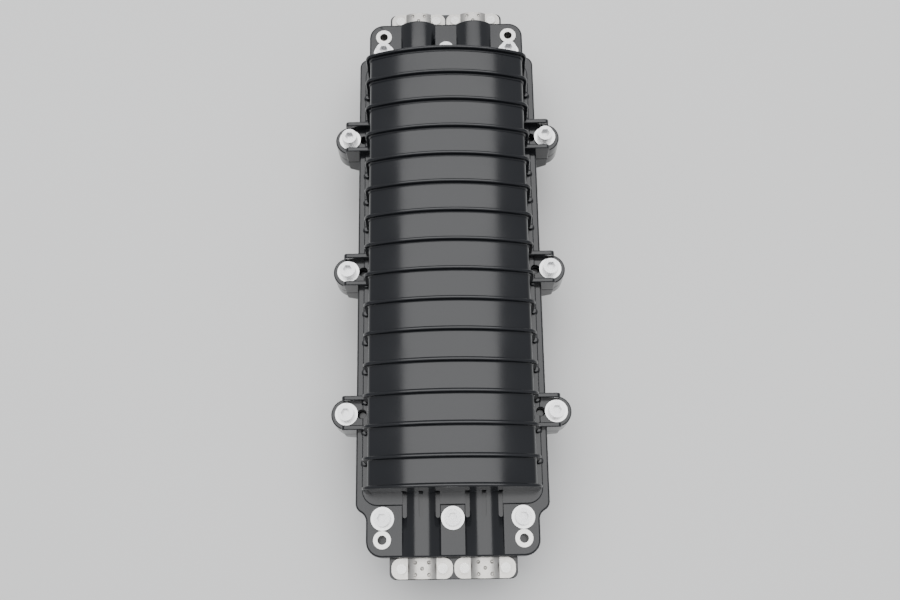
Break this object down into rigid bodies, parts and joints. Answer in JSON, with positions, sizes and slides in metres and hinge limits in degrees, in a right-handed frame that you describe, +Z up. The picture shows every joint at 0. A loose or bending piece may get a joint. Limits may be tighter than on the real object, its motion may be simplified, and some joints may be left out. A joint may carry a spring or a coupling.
{
  "type": "horizontal fibre splice closure",
  "caption": "In-line clamshell fibre splice closure: ribbed black half shells bolted round a flange, cable ports and clamps at both ends, hinged splice trays inside.",
  "frame": {"origin": "on the ground under the middle of the closure", "axes": "+Y along the closure from the near to the far ports, +X to the right, +Z up through the cover"},
  "size_m": [0.179, 0.46, 0.12],
  "materials": {
    "shell": "gloss",
    "seal_rubber": "matt",
    "clamp_metal": "satin",
    "screw_steel": "bright",
    "bolt_steel": "bright",
    "bush_metal": "satin",
    "brass": "satin",
    "carrier_steel": "satin",
    "tray_plastic": "satin",
    "holder_plastic": "satin",
    "clear_lid": "clear"
  },
  "bodies": {
    "base": {"lower_shell": "shell", "sealing_strips": "seal_rubber", "port_seal_1": "seal_rubber", "port_seal_2": "seal_rubber", "port_seal_3": "seal_rubber", "port_seal_4": "seal_rubber", "clamp_plate_1": "clamp_metal", "clamp_plate_2": "clamp_metal", "clamp_plate_3": "clamp_metal", "clamp_plate_4": "clamp_metal", "clamp_screws": "screw_steel", "bolt_inserts": "brass", "tray_carrier": "carrier_steel", "carrier_screws": "screw_steel", "strength_clamp_1": "brass", "strength_clamp_2": "brass", "strength_clamp_3": "brass", "strength_clamp_4": "brass", "strength_screws": "screw_steel"},
    "cover": {"upper_shell": "shell", "threaded_bushes": "bush_metal", "side_bolts": "bolt_steel", "side_washers": "bolt_steel", "end_bolts": "bolt_steel", "end_washers": "bolt_steel"},
    "tray_1": {"splice_tray_1": "tray_plastic", "splice_holder_1": "holder_plastic"},
    "tray_2": {"splice_tray_2": "tray_plastic", "splice_holder_2": "holder_plastic"},
    "tray_3": {"splice_tray_3": "tray_plastic", "splice_holder_3": "holder_plastic"},
    "tray_4": {"splice_tray_4": "tray_plastic", "splice_holder_4": "holder_plastic", "tray_lid": "clear_lid"}
  },
  "joints": [
    {"name": "cover_lift", "type": "slide", "parent": "base", "child": "cover", "axis": [0, 0, 1], "range_m": [0, 0.26]},
    {"name": "tray_1_swing", "type": "hinge", "parent": "base", "child": "tray_1", "pos_m": [0, -0.094, 0.0511], "axis": [1, 0, 0], "range_deg": [0, 75]},
    {"name": "tray_2_swing", "type": "hinge", "parent": "base", "child": "tray_2", "pos_m": [0, -0.1025, 0.0609], "axis": [1, 0, 0], "range_deg": [0, 75]},
    {"name": "tray_3_swing", "type": "hinge", "parent": "base", "child": "tray_3", "pos_m": [0, -0.111, 0.0707], "axis": [1, 0, 0], "range_deg": [0, 75]},
    {"name": "tray_4_swing", "type": "hinge", "parent": "base", "child": "tray_4", "pos_m": [0, -0.1195, 0.0805], "axis": [1, 0, 0], "range_deg": [0, 75]}
  ],
  "couplings": [
    {"joint": "tray_1_swing", "follows": "cover_lift", "rad_per_m": 5.03},
    {"joint": "tray_2_swing", "follows": "cover_lift", "rad_per_m": 5.03},
    {"joint": "tray_3_swing", "follows": "cover_lift", "rad_per_m": 5.03},
    {"joint": "tray_4_swing", "follows": "cover_lift", "rad_per_m": 5.03}
  ]
}
